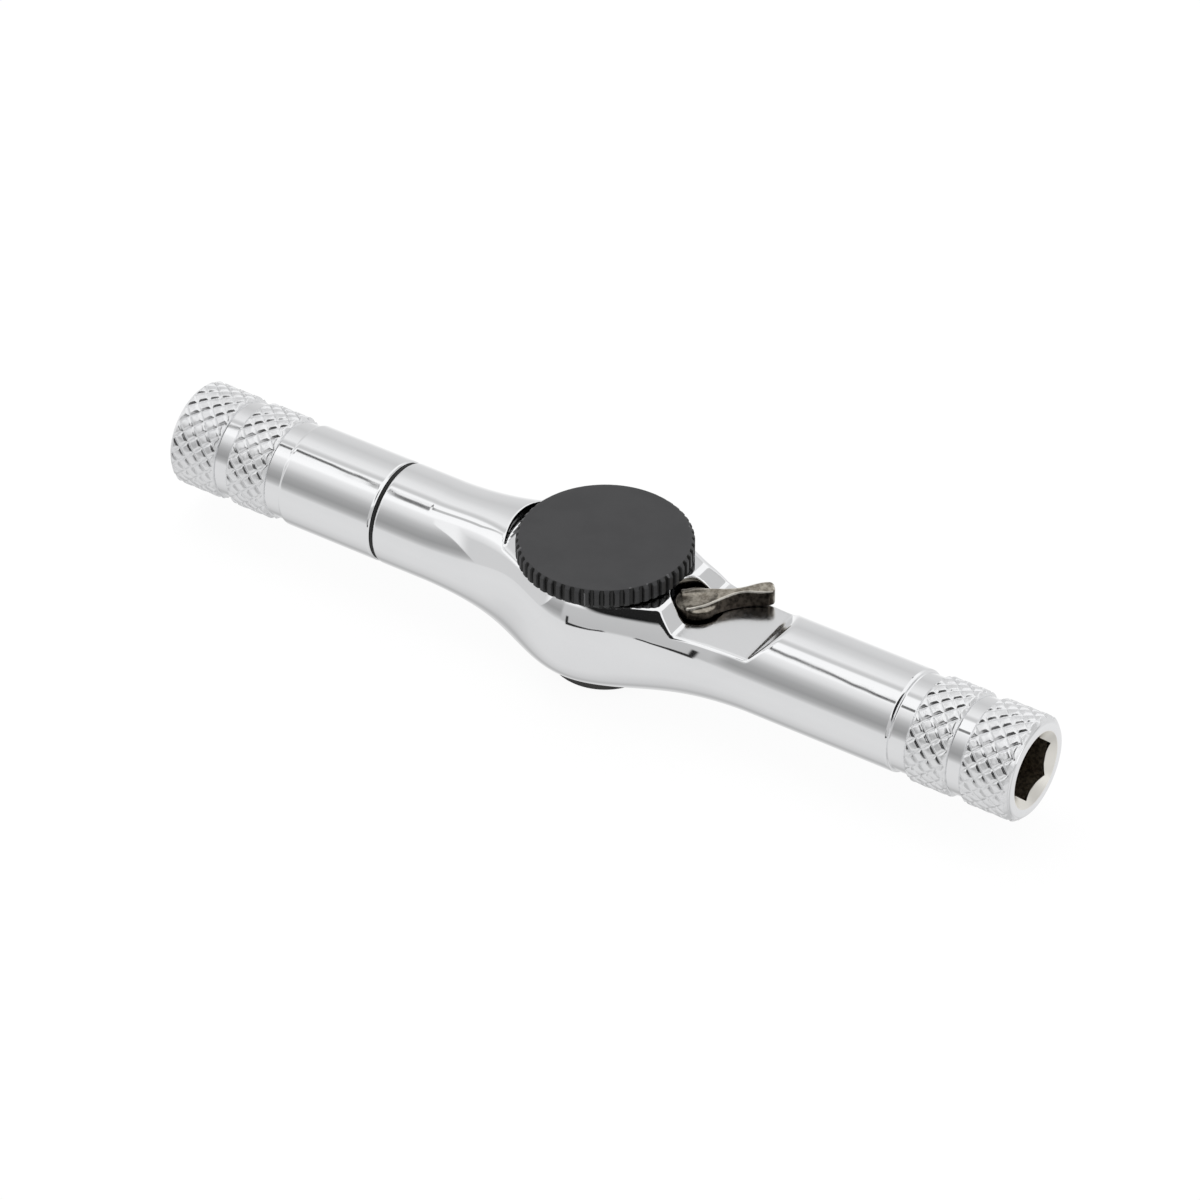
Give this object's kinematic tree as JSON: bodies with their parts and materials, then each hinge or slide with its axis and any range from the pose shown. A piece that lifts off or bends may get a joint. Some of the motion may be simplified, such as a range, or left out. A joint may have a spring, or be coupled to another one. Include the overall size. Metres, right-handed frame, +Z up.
{
  "type": "tap wrench",
  "caption": "Double-ended ratcheting tap wrench: round head with thumb disc and reversing lever, hex drive below, hex sockets in knurled arm ends, pull-out extension arm.",
  "frame": {"origin": "centre of the drive drum's lower face, which is the bottom centre of the whole tool", "axes": "+X along the tool towards the arm of the body, +Z up through the thumb disc"},
  "size_m": [0.1058, 0.0196, 0.016],
  "materials": {
    "chrome": "polished chrome plate",
    "disc_black": "satin black coating",
    "black_oxide": "black oxide",
    "cast_lever": "worn gunmetal casting",
    "spring_steel": "dull spring steel",
    "bright_steel": "bright ground",
    "seal_rubber": "matte black rubber"
  },
  "bodies": {
    "frame": {"body": "chrome", "shank_clip": "spring_steel", "right_magnet": "bright_steel", "cover_plate": "spring_steel", "cover_snap_ring": "spring_steel", "wave_washer": "spring_steel", "drum_seal": "seal_rubber", "pawl_pin": "bright_steel"},
    "drive": {"drive_gear": "black_oxide", "spinner_disc": "disc_black", "output_magnet": "bright_steel", "output_clip": "spring_steel"},
    "extension": {"handle_extension": "chrome", "extension_o_ring": "seal_rubber", "extension_magnet": "bright_steel"},
    "lever": {"reverse_lever": "cast_lever", "lever_snap_ring": "spring_steel", "lever_o_ring": "seal_rubber", "detent_plunger": "bright_steel", "detent_spring": "bright_steel"},
    "pawl": {"pawl": "black_oxide"}
  },
  "joints": [
    {"name": "drive_spin", "type": "hinge", "parent": "frame", "child": "drive", "pos_m": [0, 0, 0], "axis": [0, 0, 1], "continuous": true},
    {"name": "lever_turn", "type": "hinge", "parent": "frame", "child": "lever", "pos_m": [0.0115, 0, 0.0082], "axis": [0, 0, 1], "range_deg": [-84, 0]},
    {"name": "pawl_rock", "type": "hinge", "parent": "frame", "child": "pawl", "pos_m": [0.0079, 0, 0.0082], "axis": [0, 0, 1], "range_deg": [0, 9]},
    {"name": "extension_pull", "type": "slide", "parent": "frame", "child": "extension", "axis": [-1, 0, 0], "range_m": [0, 0.016]}
  ],
  "couplings": [
    {"joint": "pawl_rock", "follows": "lever_turn", "ratio": -0.10714}
  ]
}
